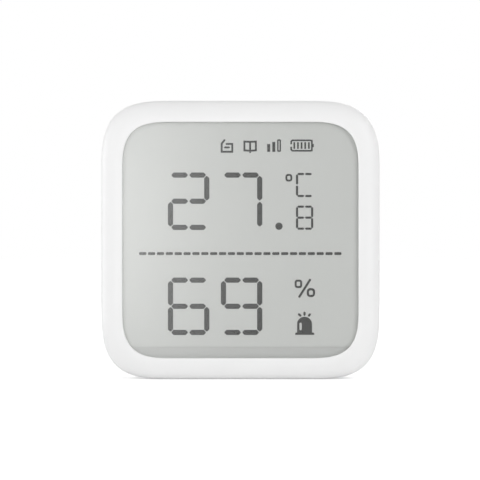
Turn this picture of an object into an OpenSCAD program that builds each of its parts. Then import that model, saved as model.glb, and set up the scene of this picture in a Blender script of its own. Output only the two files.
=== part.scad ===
// Room temperature and humidity sensor with a segment display, standing upright.
// X runs to the right across the front, Z runs up, and the display faces -Y.
// Depths are measured from the front face, and places across the front from the body's centre.

/* [Body] */
// Room between the cell tray and a side wall
side_room = 2.2; // [1.6:0.1:4]
// Height of the body
body_h = 61; // [59:0.5:66]
// Length of side that each soft corner takes up
corner_reach = 16; // [13:0.5:18]
// Squareness of the soft corners, where 2 is a plain round
corner_power = 3.2; // [2.6:0.1:4]
// Thickness of the side walls
wall = 1.8; // [1.4:0.1:2.2]
// Thickness of the front face
front_skin = 1.6; // [1.2:0.1:2.2]
// Thickness of the lip that holds the lens at the window
lip_t = 0.5; // [0.4:0.1:1]
// Reach of the front edge's rounding across the rim
front_round = 4; // [2:0.2:4.2]
// Depth of the front edge's rounding
front_round_depth = 2.6; // [1.6:0.1:3.4]

/* [Rear cover] */
// Depth of the rear cover over its side wall and back
cover_depth = 4; // [3.6:0.1:5]
// Thickness of the rear cover's back
back_skin = 1.6; // [1.2:0.1:2]
// Radius of the rear cover's back edge
back_round = 1.5; // [0.8:0.1:2]
// Seam between the front housing and the rear cover
seam = 0.15; // [0.1:0.05:0.3]
// Distance between the two top hooks
hook_spacing = 22; // [16:1:26]
// Width of a top hook
hook_w = 5; // [3:0.5:7]
// Reach of a top hook into the front housing
hook_reach = 2.6; // [2.4:0.1:3.2]
// Width of the bottom tongue
tongue_w = 12; // [8:1:16]
// Reach of the bottom tongue into the front housing
tongue_reach = 3; // [2:0.2:3.6]
// Distance between the two wall screw holes
wall_hole_spacing = 28; // [22:1:30]
// Diameter of a wall screw hole
wall_hole_dia = 4.2; // [3:0.1:5]
// Height of the wall screw holes above the body's centre
wall_hole_rise = 20; // [18:0.5:22]
// Width of the ring that stiffens a wall screw hole
hole_ring_w = 1.6; // [1:0.1:2]
// Height of the rings and of the rib between the cells
rib_h = 1.2; // [0.8:0.1:1.6]
// Thickness of the rib between the cells
rib_t = 1.2; // [0.8:0.1:1.6]
// Length of a tab that places the cover between the side walls
tab_length = 8; // [5:0.5:10]
// Distance between the tabs of one side
tab_spacing = 26; // [20:1:30]
// Reach of a tab into the front housing
tab_reach = 1.4; // [1:0.1:2]

/* [Window and display] */
// Width of the rim round the window
rim_w = 4.7; // [4.2:0.1:5.4]
// Chamfer round the window
window_chamfer = 0.25; // [0.15:0.05:0.35]
// Thickness of the window lens
lens_t = 0.4; // [0.3:0.1:1]
// Overlap of the lens behind the rim
lens_lap = 1.5; // [1.2:0.1:1.8]
// Thickness of the tape that holds the lens
tape_t = 0.1; // [0.05:0.05:0.2]
// Air gap between the lens and the display
lens_gap = 0.1; // [0.05:0.05:0.3]
// Overlap of the display glass behind the rim
glass_lap = 1.4; // [1.2:0.1:1.6]
// Thickness of one display glass
glass_t = 0.7; // [0.5:0.1:1.1]
// Thickness of a display film
film_t = 0.2; // [0.15:0.05:0.3]
// Height of the contact ledge that shows below the display
ledge_h = 2.5; // [2:0.1:3.5]
// Gap between the contact ledge and the carrier's rail
rail_gap = 0.1; // [0.05:0.05:0.2]
// Thickness of the rubber contact strip
zebra_t = 0.8; // [0.6:0.1:1]
// Distance from the rubber contact strip's end to the cut for a screw gusset
zebra_end_gap = 0.9; // [0.6:0.1:4]
// Distance from the display's back to the board
carrier_d = 4.2; // [3:0.1:5]
// Width of the display carrier beside the screw gussets
carrier_rail = 2.5; // [1.5:0.5:5]

/* [Board] */
// Thickness of the circuit board
board_t = 1; // [0.8:0.1:1.6]
// Gap between the board's edge and the housing wall
board_edge_gap = 1; // [0.6:0.1:1.2]
// Diameter of the two pegs that place the board
peg_dia = 1.6; // [1.2:0.1:2.4]
// Distance from a peg to the cut for a screw gusset
peg_edge = 1.9; // [1.5:0.1:4]
// Width of the sensor chip
sensor_w = 2.5; // [2:0.1:3]
// Thickness of the foam round the sensor chip
gasket_t = 1; // [0.8:0.1:2]
// Height of the sensor chip
sensor_h = 0.9; // [0.7:0.1:1.2]
// Distance from the board's lower edge to the sensor chip
sensor_rise = 3.2; // [2.6:0.1:4]
// Width of the heat slot above the sensor chip
heat_slot_w = 0.8; // [0.6:0.1:1.2]
// Width of the microcontroller
controller_w = 7; // [5:0.5:8]
// Height of the microcontroller
controller_h = 0.9; // [0.7:0.1:1.2]
// Distance from the body's centre to the microcontroller
controller_x = 13; // [10:0.5:14]
// Width of the clock crystal
crystal_w = 2; // [1.6:0.1:2.5]
// Length of the clock crystal
crystal_length = 3.2; // [2.5:0.1:4]
// Height of the clock crystal and the capacitors
small_chip_h = 0.8; // [0.5:0.1:1.2]
// Length of the aerial
antenna_length = 7; // [5:0.5:9]
// Width of the aerial
antenna_w = 2; // [1.6:0.1:3]
// Height of the aerial
antenna_h = 1.2; // [0.8:0.1:1.6]
// Distance from the body's centre to the aerial
antenna_x = 10; // [8:0.5:11]
// Number of capacitors
capacitor_count = 4; // [2:1:5]
// Distance between capacitors
capacitor_pitch = 2.6; // [2:0.1:2.8]
// Width of a capacitor
capacitor_w = 0.9; // [0.5:0.1:1.3]
// Length of a capacitor
capacitor_length = 1.7; // [1:0.1:2.2]

/* [Cells and contacts] */
// Diameter of a cell over its jacket
cell_dia = 10.5; // [9.8:0.1:10.5]
// Length of a cell with its end cap
cell_length = 44.5; // [43.5:0.1:44.5]
// Diameter of a cell's end cap
cap_dia = 3.8; // [3.2:0.1:4]
// Height of a cell's end cap
cap_h = 1; // [0.8:0.1:1.4]
// Thickness of a cell's jacket
jacket_t = 0.15; // [0.1:0.05:0.3]
// Space between the two cells
cell_space = 1; // [0.7:0.1:2.5]
// Thickness of the contact sheet
contact_t = 0.3; // [0.2:0.05:0.5]
// Width of one contact plate
contact_w = 8; // [6:0.5:9]
// Width of a contact's leg
leg_w = 2; // [1.2:0.1:3]
// Diameter of the button pressed into a positive contact
boss_dia = 4.4; // [3.8:0.1:5]
// Height of the button pressed into a positive contact
contact_boss = 0.5; // [0.3:0.1:0.8]
// Length of a fitted contact spring
spring_length = 5; // [4.6:0.1:6]
// Wire diameter of a contact spring
spring_wire = 0.6; // [0.4:0.05:0.6]
// Number of curls in a contact spring
spring_curls = 3; // [2:1:3]
// Diameter of a contact spring at its plate
spring_base_dia = 7; // [6:0.2:8]
// Diameter of a contact spring at the cell
spring_tip_dia = 4.6; // [4:0.2:5.6]

/* [Chassis] */
// Thickness of the chassis plate
plate_t = 1.2; // [1:0.1:1.6]
// Thickness of the cell tray's floor
tray_floor = 1.2; // [1:0.1:1.6]
// Thickness of the cell tray's walls
tray_wall = 1.2; // [1:0.1:1.5]
// Height of the tray's walls past the cells' axes
tray_rise = 2; // [1:0.5:3]
// Number of cradle ribs under the cells
cradle_count = 3; // [2:1:5]
// Diameter of the pads that press on the board
pad_dia = 3; // [2:0.2:5]
// Gap between the board and the cell tray
tray_gap = 0.4; // [0.3:0.1:1]
// Distance from the body's sides to the chassis screws
screw_inset = 8.1; // [7.8:0.1:8.6]
// Diameter of a chassis screw
screw_dia = 2; // [1.6:0.1:2.4]
// Diameter of a chassis screw's head
screw_head_dia = 3.8; // [3.2:0.1:4]
// Height of a chassis screw's head
screw_head_h = 1.4; // [1:0.1:1.8]
// Thickness of chassis under a screw's head
screw_grip = 2.2; // [1.6:0.1:3]

/* [Pairing button] */
// Width of the switch under the button
switch_w = 6; // [4.5:0.1:6.5]
// Height of the switch
switch_h = 3.5; // [3:0.1:4]
// Diameter of the switch's plunger
plunger_dia = 3.4; // [2.6:0.1:3.6]
// Depth of the plunger's bore
plunger_depth = 1.2; // [1:0.1:1.6]
// Height of the plunger above the switch
plunger_h = 0.9; // [0.7:0.1:1.2]
// Diameter of the button
button_dia = 5; // [4:0.2:6]
// Height of the button above the chassis plate
button_rise = 0.8; // [0.5:0.1:1.2]
// Thickness of the button's flange
flange_t = 0.8; // [0.6:0.1:1.2]
// Width of the button's flange past its side
flange_w = 1; // [0.6:0.1:1.4]

/* [Air inlets] */
// Length of the air slit under the front edge
slit_length = 12; // [8:1:16]
// Distance from the front face to the slit
slit_start = 2.2; // [1.8:0.1:2.6]
// Width of the slit
slit_w = 1.9; // [1.2:0.1:2.2]
// Number of vents under the sensor
vent_count = 5; // [3:2:7]
// Width of a vent
vent_w = 1.3; // [1:0.1:1.5]
// Distance between vents
vent_pitch = 2.8; // [2.4:0.1:3]

/* [Clearances] */
// Gap round pieces that drop into the housing
fit_gap = 0.3; // [0.2:0.05:0.4]
// Gap round a running or locating pin, on the radius
pin_gap = 0.08; // [0.05:0.01:0.1]
// Gap round a cell in its tray
cell_gap = 0.2; // [0.15:0.05:0.4]
// Gap between the cells and the rear cover
cover_gap = 0.5; // [0.4:0.1:1]

/* [Hidden] */

$fn = 48;
corner_steps = 14;
round_steps = 7;
curl_rings = 8;
wire_sides = 6;
past = 1;

// Depths of the stack, from the front face to the back
lens_at = lip_t + tape_t;
polariser_at = lens_at + lens_t + lens_gap;
front_glass_at = polariser_at + film_t;
rear_glass_at = front_glass_at + glass_t;
reflector_at = rear_glass_at + glass_t;
carrier_at = reflector_at + film_t;
board_at = carrier_at + carrier_d;
board_back = board_at + board_t;
tray_at = board_back + tray_gap;
cell_floor = tray_at + tray_floor;
cell_axis = cell_floor + cell_gap + cell_dia / 2;
cover_inside = cell_axis + cell_dia / 2 + cover_gap;
body_d = cover_inside + back_skin;
parting = body_d - cover_depth;
switch_top = board_back + switch_h;
plunger_top = switch_top + plunger_h;
plate_at = plunger_top + flange_t;
plate_back = plate_at + plate_t;

// Cell tray, whose length sets the width of the body
cell_pitch = cell_dia + cell_space;
bay_half = (2 * contact_t + contact_boss + cell_length + spring_length) / 2;
bay_half_h = (cell_pitch + cell_dia) / 2 + cell_gap;
bay_rim = cell_axis + tray_rise;
body_w = 2 * (bay_half + tray_wall + side_room + wall);
jacket_gap = 0.02;
can_dia = cell_dia - 2 * (jacket_t + jacket_gap);

// Places across the front
top = body_h / 2;
bottom = -top;
inner_top = top - wall;
inner_bottom = -inner_top;
ledge_top = bottom + rim_w + ledge_h;
glass_bottom = bottom + rim_w - glass_lap;
screw_x = body_w / 2 - screw_inset;
screw_y = body_h / 2 - screw_inset;
post_wall = 1;
post_dia = screw_head_dia + 2 * post_wall;
gusset_side = post_dia / 2 + fit_gap;
gusset_cut = screw_x - gusset_side - fit_gap;
peg_x = gusset_cut - peg_edge;
peg_y = top - rim_w - peg_dia / 2;
zebra_half = gusset_cut - zebra_end_gap;

// Middle of the space above the cell tray, and the sensor's place below it
upper_zone = (bay_half_h + tray_wall + inner_top) / 2;
sensor_y = inner_bottom + board_edge_gap + sensor_rise;

// Hooks, tongue and tabs of the rear cover
hook_t = 1.2;
hook_lip = 0.8;
hook_bridge = 0.8;
tongue_t = 1.2;
tongue_bead = fit_gap / 2;
tab_t = 1;

// Outline of the body, moved in by an inset, with corners that ease into the sides
function corner_share(angle) = pow(sin(angle), 2 / corner_power);
function soft_outline(inset) =
  let(half_w = body_w / 2 - inset, half_h = body_h / 2 - inset, reach = corner_reach - inset)
  [for (quarter = [0:3], i = [0:corner_steps])
    let(turn = 90 * i / corner_steps)
    let(angle = quarter % 2 == 0 ? turn : 90 - turn)
    let(x = half_w - reach + reach * corner_share(90 - angle))
    let(y = half_h - reach + reach * corner_share(angle))
    [quarter == 0 || quarter == 3 ? x : -x, quarter < 2 ? y : -y]];

// A closed skin over rings of points
module skin(rings) {
  sides = len(rings[0]);
  last = len(rings) - 1;
  front_cap = [[for (j = [sides - 1:-1:0]) j]];
  back_cap = [[for (j = [0:sides - 1]) last * sides + j]];
  walls = [for (k = [0:last - 1], j = [0:sides - 1], half = [0, 1])
    let(a = k * sides + j, b = k * sides + (j + 1) % sides)
    half == 0 ? [a, b, b + sides] : [a, b + sides, a + sides]];
  polyhedron([for (ring = rings) each ring], concat(front_cap, walls, back_cap));
}

// A skin over body outlines, each station an inset and a depth
module soft_loft(stations) {
  skin([for (station = stations)
    [for (p = soft_outline(station[0])) [p[0], station[1] - body_d / 2, p[1] + body_h / 2]]]);
}

// A flat shape seen from the front, as a slab between two depths
module slab(from, to) {
  translate([0, to - body_d / 2, body_h / 2])
    rotate([90, 0, 0])
      linear_extrude(to - from) children();
}

// A round rod along the depth
module rod(x, y, dia, from, to) {
  slab(from, to) translate([x, y]) circle(d = dia);
}

// A block given by its left, right, bottom and top
module block(left, right, low, high, from, to) {
  slab(from, to) translate([left, low]) square([right - left, high - low]);
}

// An upright slot through the bottom wall, with round ends along X
module bottom_slot(x, length, from, to) {
  width = to - from;
  translate([x, (from + to - body_d) / 2, -past])
    linear_extrude(wall + past + fit_gap) {
      square([length - width, width], center = true);
      for (side = [-1, 1]) translate([side * (length - width) / 2, 0]) circle(d = width);
    }
}

// An upright vent through the bottom wall, with round ends along the depth
module bottom_vent(x, width, from, to) {
  length = to - from;
  translate([x, (from + to - body_d) / 2, -past])
    linear_extrude(wall + past + fit_gap) {
      square([width, length - width], center = true);
      for (side = [-1, 1]) translate([0, side * (length - width) / 2]) circle(d = width);
    }
}

// The four places of the chassis screws
module at_screws() {
  for (sx = [-1, 1], sy = [-1, 1]) translate([sx * screw_x, sy * screw_y]) children();
}

// The four corners that the screw gussets fill, with a margin round them
module gusset_corners(margin) {
  for (flip_x = [0, 1], flip_y = [0, 1])
    mirror([flip_x, 0])
      mirror([0, flip_y])
        translate([screw_x - gusset_side - margin, screw_y - gusset_side - margin])
          square(body_w);
}

// Moulded front shell: pillowed rim, window, corner gussets, air inlets and seats for the cover
module front_housing() {
  rounding = [for (i = [0:round_steps])
    let(angle = 90 * i / round_steps)
    [front_round * (1 - sin(angle)), front_round_depth * (1 - cos(angle))]];
  vent_from = board_back + fit_gap;
  vent_to = plate_at - fit_gap;
  color("white")
    difference() {
      union() {
        difference() {
          union() {
            soft_loft(rounding);
            slab(front_round_depth, parting) polygon(soft_outline(0));
          }
          slab(front_skin, parting + past) polygon(soft_outline(wall));
          slab(lip_t, front_skin + past) polygon(soft_outline(rim_w - lens_lap - fit_gap));
        }
        slab(carrier_at + fit_gap, board_back)
          intersection() {
            polygon(soft_outline(wall / 2));
            gusset_corners(0);
          }
      }
      slab(-past, front_skin + past) polygon(soft_outline(rim_w));
      soft_loft([[rim_w - window_chamfer - past, -past], [rim_w, window_chamfer]]);
      slab(carrier_at, board_back + past) at_screws() circle(d = screw_dia + 2 * pin_gap);
      bottom_slot(0, slit_length, slit_start, slit_start + slit_w);
      for (i = [0:vent_count - 1])
        bottom_vent((i - (vent_count - 1) / 2) * vent_pitch, vent_w, vent_from, vent_to);
      for (side = [-1, 1])
        hook_pocket(side * hook_spacing / 2);
      pry_notch(parting - wall, parting + past);
    }
}

// Pocket in the top wall that a hook's lip swings in
module hook_pocket(x) {
  half = hook_w / 2 + fit_gap;
  block(x - half, x + half, inner_top - past, inner_top + hook_lip + fit_gap,
    parting - hook_reach - fit_gap, parting - hook_bridge);
}

// Shallow notch across the seam at the bottom, for a fingernail or a coin
module pry_notch(from, to) {
  half = tongue_w / 2;
  block(-half, half, bottom - past, bottom + wall / 2, from, to);
}

// Sticky frame between the rim and the lens
module lens_tape() {
  color("whitesmoke")
    slab(lip_t, lens_at)
      difference() {
        polygon(soft_outline(rim_w - lens_lap + fit_gap));
        polygon(soft_outline(rim_w - fit_gap));
      }
}

// Clear window
module display_lens() {
  color("aliceblue", 0.3)
    slab(lens_at, lens_at + lens_t) polygon(soft_outline(rim_w - lens_lap));
}

// Shape of the display above its contact ledge
module display_area() {
  intersection() {
    polygon(soft_outline(rim_w - glass_lap));
    translate([-body_w, ledge_top]) square([2 * body_w, body_h]);
  }
}

// Film on the front of the display
module lcd_polariser() {
  color("gainsboro", 0.5) slab(polariser_at, front_glass_at) display_area();
}

// Front glass, which reaches down past the rear glass as the contact ledge
module lcd_front_glass() {
  color("lightcyan", 0.4)
    slab(front_glass_at, rear_glass_at) polygon(soft_outline(rim_w - glass_lap));
}

// Rear glass
module lcd_rear_glass() {
  color("lightcyan", 0.4) slab(rear_glass_at, reflector_at) display_area();
}

// Grey film that gives the display its pale ground
module lcd_reflector() {
  color("lightgray") slab(reflector_at, carrier_at) display_area();
}

// Frame that holds the display off the board, with the rail that shows as a band below it
module lcd_carrier() {
  opening_inset = screw_inset + gusset_side + fit_gap + carrier_rail;
  zebra_room = glass_bottom + zebra_t + 2 * fit_gap;
  color("silver") {
    slab(carrier_at, board_at)
      difference() {
        polygon(soft_outline(rim_w - glass_lap));
        gusset_corners(fit_gap);
        square([body_w - 2 * opening_inset, body_h - 2 * opening_inset], center = true);
        translate([-zebra_half - fit_gap, bottom])
          square([2 * (zebra_half + fit_gap), zebra_room - bottom]);
      }
    slab(rear_glass_at + rail_gap, carrier_at)
      intersection() {
        polygon(soft_outline(rim_w - glass_lap));
        translate([-body_w, zebra_room]) square([2 * body_w, ledge_top - zebra_room]);
      }
    for (side = [-1, 1])
      rod(side * peg_x, peg_y, peg_dia, board_at - past / 2, board_back);
  }
}

// Rubber strip that carries the display's signals to the board
module zebra_strip() {
  low = glass_bottom + fit_gap;
  color("pink")
    block(-zebra_half, zebra_half, low, low + zebra_t, rear_glass_at, board_at);
}

// Circuit board with cut corners, peg holes and a slot that keeps heat from the sensor
module main_board() {
  slot_half = 1.6 * sensor_w;
  color("seagreen")
    slab(board_at, board_back)
      difference() {
        polygon(soft_outline(wall + board_edge_gap));
        gusset_corners(fit_gap);
        for (side = [-1, 1])
          translate([side * peg_x, peg_y]) circle(d = peg_dia + 2 * pin_gap);
        translate([-slot_half, sensor_y + sensor_w]) square([2 * slot_half, heat_slot_w]);
      }
}

// A flat chip on the back of the board
module board_chip(x, y, width, height, rise) {
  slab(board_back, board_back + rise)
    translate([x, y]) square([width, height], center = true);
}

// Controller with its radio, and the dot that marks its first pin
module microcontroller() {
  dot_dia = controller_w / 10;
  dot_depth = controller_h / 9;
  color("black")
    difference() {
      board_chip(-controller_x, upper_zone, controller_w, controller_w, controller_h);
      rod(-controller_x - controller_w / 3, upper_zone + controller_w / 3, dot_dia,
        board_back + controller_h - dot_depth, board_back + controller_h + past);
    }
}

// Clock crystal beside the controller
module clock_crystal() {
  x = -controller_x + controller_w / 2 + crystal_w;
  color("silver") board_chip(x, upper_zone, crystal_w, crystal_length, small_chip_h);
}

// Ceramic aerial at the board's top edge
module chip_antenna() {
  y = inner_top - board_edge_gap - antenna_w;
  color("ivory") board_chip(antenna_x, y, antenna_length, antenna_w, antenna_h);
}

// Row of small capacitors beside the switch
module board_capacitors() {
  first = switch_w / 2 + 2 * capacitor_pitch;
  color("tan")
    for (i = [0:capacitor_count - 1])
      board_chip(first + i * capacitor_pitch, upper_zone - switch_w / 2, capacitor_w, capacitor_length,
        small_chip_h);
}

// Temperature and humidity chip with its round port
module sensor_chip() {
  color("black")
    difference() {
      board_chip(0, sensor_y, sensor_w, sensor_w, sensor_h);
      rod(0, sensor_y, sensor_w * 0.45, board_back + sensor_h / 2, board_back + sensor_h + past);
    }
}

// Three-sided wall round the sensor, open towards the vents
module sensor_hood_shape() {
  half = (vent_count - 1) / 2 * vent_pitch + vent_w;
  hood_wall = plate_t;
  hood_low = inner_bottom + board_edge_gap + fit_gap;
  hood_high = sensor_y + sensor_w + 2 * heat_slot_w;
  difference() {
    translate([-half - hood_wall, hood_low])
      square([2 * (half + hood_wall), hood_high + hood_wall - hood_low]);
    translate([-half, hood_low - past])
      square([2 * half, hood_high - hood_low + past]);
  }
}

// Foam between the hood and the board
module sensor_gasket() {
  color("darkslategray") slab(board_back, board_back + gasket_t) sensor_hood_shape();
}

// Push switch on the board, with the bore that its plunger runs in
module switch_body() {
  color("dimgray")
    difference() {
      board_chip(0, upper_zone, switch_w, switch_w, switch_h);
      rod(0, upper_zone, plunger_dia + 2 * pin_gap, switch_top - plunger_depth, switch_top + past);
    }
}

// Plunger of the switch
module switch_plunger() {
  color("black") rod(0, upper_zone, plunger_dia, switch_top - plunger_depth / 2, plunger_top);
}

// Pairing button, held under the chassis plate by its flange
module pair_button() {
  color("whitesmoke")
    translate([0, -body_d / 2, body_h / 2 + upper_zone])
      rotate([-90, 0, 0])
        rotate_extrude()
          polygon([
            [0, plunger_top],
            [button_dia / 2 + flange_w, plunger_top],
            [button_dia / 2 + flange_w, plate_at],
            [button_dia / 2, plate_at],
            [button_dia / 2, plate_back + button_rise - fit_gap],
            [button_dia / 2 - fit_gap, plate_back + button_rise],
            [0, plate_back + button_rise]
          ]);
}

// Moulded chassis: plate, cell tray with cradles, screw posts and the hood over the sensor
module rear_chassis() {
  color("whitesmoke")
    difference() {
      union() {
        slab(plate_at, plate_back) polygon(soft_outline(wall + fit_gap));
        block(-bay_half - tray_wall, bay_half + tray_wall,
          -bay_half_h - tray_wall, bay_half_h + tray_wall, tray_at, bay_rim);
        slab(board_back, plate_back) at_screws() circle(d = post_dia);
        slab(board_back + gasket_t, plate_at + plate_t / 2) sensor_hood_shape();
        slab(board_back, tray_at + tray_floor / 2)
          for (sx = [-1, 1], sy = [-1, 1])
            translate([sx * bay_half / 2, sy * cell_pitch / 2]) circle(d = pad_dia);
      }
      difference() {
        block(-bay_half, bay_half, -bay_half_h, bay_half_h, cell_floor, bay_rim + past);
        cradles();
      }
      slab(board_back - past, plate_back + past) at_screws() circle(d = screw_dia + 2 * fit_gap);
      slab(board_back + screw_grip, plate_back + past)
        at_screws() circle(d = screw_head_dia + 2 * fit_gap);
      rod(0, upper_zone, button_dia + 2 * pin_gap, plate_at - past, plate_back + past);
      for (row = [-1, 1]) leg_slot(row * cell_pitch / 2);
      finger_scoop();
    }
}

// Ribs that cradle the cells
module cradles() {
  cradle_t = 1.6;
  spacing = 2 * bay_half / (cradle_count + 1);
  difference() {
    for (i = [1:cradle_count])
      block(-bay_half + i * spacing - cradle_t / 2, -bay_half + i * spacing + cradle_t / 2,
        -bay_half_h, bay_half_h, cell_floor - past, cell_axis - cell_dia / 5);
    for (row = [-1, 1])
      along_cell(row) cylinder(d = cell_dia + 2 * cell_gap, h = 2 * bay_half);
  }
}

// Slot in the tray's floor for the leg of a contact
module leg_slot(y) {
  half = leg_w / 2 + fit_gap / 2;
  block(-bay_half, -bay_half + contact_t + fit_gap, y - half, y + half, tray_at - past, cell_floor + past);
}

// Round dip in the tray's lower wall, so that a finger can lift a cell
module finger_scoop() {
  translate([0, bay_rim - body_d / 2, body_h / 2 - bay_half_h - tray_wall - past])
    cylinder(d = cell_dia * 2 / 3, h = tray_wall + 2 * past);
}

// Places a shape that is drawn along Z on a cell's axis, from the tray's left end
module along_cell(row) {
  translate([-bay_half, cell_axis - body_d / 2, body_h / 2 + row * cell_pitch / 2])
    rotate([0, 90, 0]) children();
}

// Four screws through the chassis posts into the front housing
module chassis_screws() {
  seat = board_back + screw_grip;
  color("silver")
    difference() {
      union() {
        slab(carrier_at + 2 * fit_gap, seat) at_screws() circle(d = screw_dia);
        slab(seat, seat + screw_head_h) at_screws() circle(d = screw_head_dia);
      }
      slab(seat + screw_head_h / 2, seat + screw_head_h + past)
        at_screws() for (turn = [0, 90]) rotate(turn)
          square([screw_head_dia * 0.6, screw_head_dia * 0.16], center = true);
    }
}

// Flat sheet at one end of the tray, over the rows from low to high
module contact_sheet(side, low, high) {
  left = side < 0 ? -bay_half : bay_half - contact_t;
  block(left, left + contact_t, low - contact_w / 2, high + contact_w / 2,
    cell_floor, cell_axis + contact_w / 2);
}

// Leg of a contact, down through the tray's floor to the board
module contact_leg(y) {
  block(-bay_half, -bay_half + contact_t, y - leg_w / 2, y + leg_w / 2, board_back, cell_floor + past);
}

// Round button of a positive contact
module contact_button(side, y) {
  left = side < 0 ? -bay_half + contact_t : bay_half - contact_t - contact_boss;
  translate([left, cell_axis - body_d / 2, body_h / 2 + y])
    rotate([0, 90, 0]) cylinder(d = boss_dia, h = contact_boss);
}

// Contact at the upper cell's cap
module positive_contact() {
  y = cell_pitch / 2;
  color("gold") {
    contact_sheet(-1, y, y);
    contact_leg(y);
    contact_button(-1, y);
  }
}

// Contact behind the lower cell's spring
module negative_contact() {
  y = -cell_pitch / 2;
  color("gold") {
    contact_sheet(-1, y, y);
    contact_leg(y);
  }
}

// Sheet that joins the two cells at the right
module contact_bridge() {
  color("gold") {
    contact_sheet(1, -cell_pitch / 2, cell_pitch / 2);
    contact_button(1, -cell_pitch / 2);
  }
}

// Middle line of a spring, each point a radius, an angle and a distance along the axis
function spring_line() =
  let(steps = curl_rings * spring_curls, run = spring_length - 2 * spring_wire)
  concat(
    [[spring_base_dia / 2, 0, 0]],
    [for (i = [0:steps])
      let(share = i / steps)
      [spring_base_dia / 2 + (spring_tip_dia - spring_base_dia) / 2 * share,
        360 * spring_curls * share, spring_wire + run * share]],
    [[spring_tip_dia / 2, 360 * spring_curls, spring_length]]);
function spring_point(p) = [p[0] * cos(p[1]), p[0] * sin(p[1]), p[2]];
function unit(v) = v / norm(v);
spring_points = [for (p = spring_line()) spring_point(p)];
spring_last = len(spring_points) - 1;

// Direction of the wire at a point, square to the plates at both ends
function wire_direction(i) =
  i == 0 || i == spring_last ? [0, 0, 1]
  : unit(unit(spring_points[i] - spring_points[i - 1]) + unit(spring_points[i + 1] - spring_points[i]));

// Ring of points round the wire
function wire_ring(i) =
  let(angle = spring_line()[i][1], out = [cos(angle), sin(angle), 0])
  let(across = unit(cross(out, wire_direction(i))))
  [for (j = [0:wire_sides - 1])
    let(turn = 360 * j / wire_sides)
    spring_points[i] + spring_wire / 2 * (cos(turn) * out + sin(turn) * across)];

// Least gap between one curl and the next
spring_gap = min([for (i = [0:spring_last], j = [i + curl_rings - 2:1:spring_last])
  norm(spring_points[i] - spring_points[j])]) - spring_wire;
echo(spring_gap = spring_gap);

// Contact spring along Z, from its plate up to the cell
module contact_spring() {
  skin([for (i = [0:spring_last]) wire_ring(i)]);
}

// Spring behind the lower cell
module negative_spring() {
  color("lightgray") along_cell(-1) translate([0, 0, contact_t]) contact_spring();
}

// Spring behind the upper cell, on the bridge
module bridge_spring() {
  color("lightgray")
    along_cell(1) translate([0, 0, 2 * bay_half - contact_t]) mirror([0, 0, 1]) contact_spring();
}

// Steel can of a cell along Z, with its flat end at zero
module cell_can() {
  edge = 0.5;
  dish = 0.3;
  shoulder = cell_length - cap_h;
  rotate_extrude()
    polygon([
      [0, 0],
      [can_dia / 2 - edge - dish, 0],
      [can_dia / 2, edge],
      [can_dia / 2, shoulder - edge],
      [can_dia / 2 - edge, shoulder],
      [cap_dia / 2, shoulder],
      [cap_dia / 2, cell_length],
      [0, cell_length]
    ]);
}

// Thin jacket of a cell along Z
module cell_jacket() {
  end_gap = 0.7;
  shoulder = cell_length - cap_h;
  translate([0, 0, end_gap])
    difference() {
      cylinder(d = cell_dia, h = shoulder - 2 * end_gap);
      translate([0, 0, -past]) cylinder(d = cell_dia - 2 * jacket_t, h = cell_length + past);
    }
}

// Upper cell lies with its cap to the left, lower cell with its cap to the right
module upper_place() {
  along_cell(1)
    translate([0, 0, contact_t + contact_boss + cell_length]) mirror([0, 0, 1]) children();
}
module lower_place() {
  along_cell(-1) translate([0, 0, contact_t + spring_length]) children();
}
module upper_cell() {
  color("silver") upper_place() cell_can();
}
module upper_cell_jacket() {
  color("slategray") upper_place() cell_jacket();
}
module lower_cell() {
  color("silver") lower_place() cell_can();
}
module lower_cell_jacket() {
  color("slategray") lower_place() cell_jacket();
}

// Rear cover: shallow cap with two hooks at the top, a tongue at the bottom and wall screw holes
module rear_cover() {
  rounding = [for (i = [0:round_steps])
    let(angle = 90 * i / round_steps)
    [back_round * (1 - cos(angle)), body_d - back_round * (1 - sin(angle))]];
  color("white")
    difference() {
      union() {
        difference() {
          union() {
            slab(parting + seam, body_d - back_round) polygon(soft_outline(0));
            soft_loft(concat(rounding, [[back_round, body_d + past]]));
          }
          slab(parting, cover_inside) polygon(soft_outline(wall));
          slab(body_d, body_d + 2 * past) square([2 * body_w, 2 * body_h], center = true);
        }
        for (side = [-1, 1]) cover_hook(side * hook_spacing / 2);
        for (side = [-1, 1], row = [-1, 1]) cover_tab(side, row * tab_spacing / 2);
        cover_tongue();
        cover_ribs();
      }
      for (side = [-1, 1])
        rod(side * wall_hole_spacing / 2, wall_hole_rise, wall_hole_dia, parting, body_d + past);
      pry_notch(parting - past, parting + wall);
    }
}

// Hook at the top of the cover: an arm under the housing's top wall, with a lip in its pocket
module cover_hook(x) {
  half = hook_w / 2;
  arm_top = inner_top - fit_gap;
  block(x - half, x + half, arm_top - hook_t, arm_top, parting - hook_reach, cover_inside + past / 2);
  block(x - half, x + half, arm_top - hook_t, inner_top + past / 2, parting + seam, cover_inside + past / 2);
  block(x - half, x + half, arm_top - hook_t, inner_top + hook_lip,
    parting - hook_reach, parting - hook_reach + hook_lip);
}

// Tab that places the cover between the housing's side walls
module cover_tab(side, y) {
  outer = body_w / 2 - wall - fit_gap;
  root = outer + fit_gap + past / 2;
  low = y - tab_length / 2;
  high = y + tab_length / 2;
  mirror([side < 0 ? 1 : 0, 0, 0]) {
    block(outer - tab_t, outer, low, high, parting - tab_reach, cover_inside + past / 2);
    block(outer - tab_t, root, low, high, parting + seam, cover_inside + past / 2);
  }
}

// Rings round the wall screw holes, and a rib in the valley between the cells
module cover_ribs() {
  rib_half = bay_half - tray_wall;
  block(-rib_half, rib_half, -rib_t / 2, rib_t / 2, cover_inside - rib_h, cover_inside + past / 2);
  for (side = [-1, 1])
    rod(side * wall_hole_spacing / 2, wall_hole_rise, wall_hole_dia + 2 * hole_ring_w,
      cover_inside - rib_h, cover_inside + past / 2);
}

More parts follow.
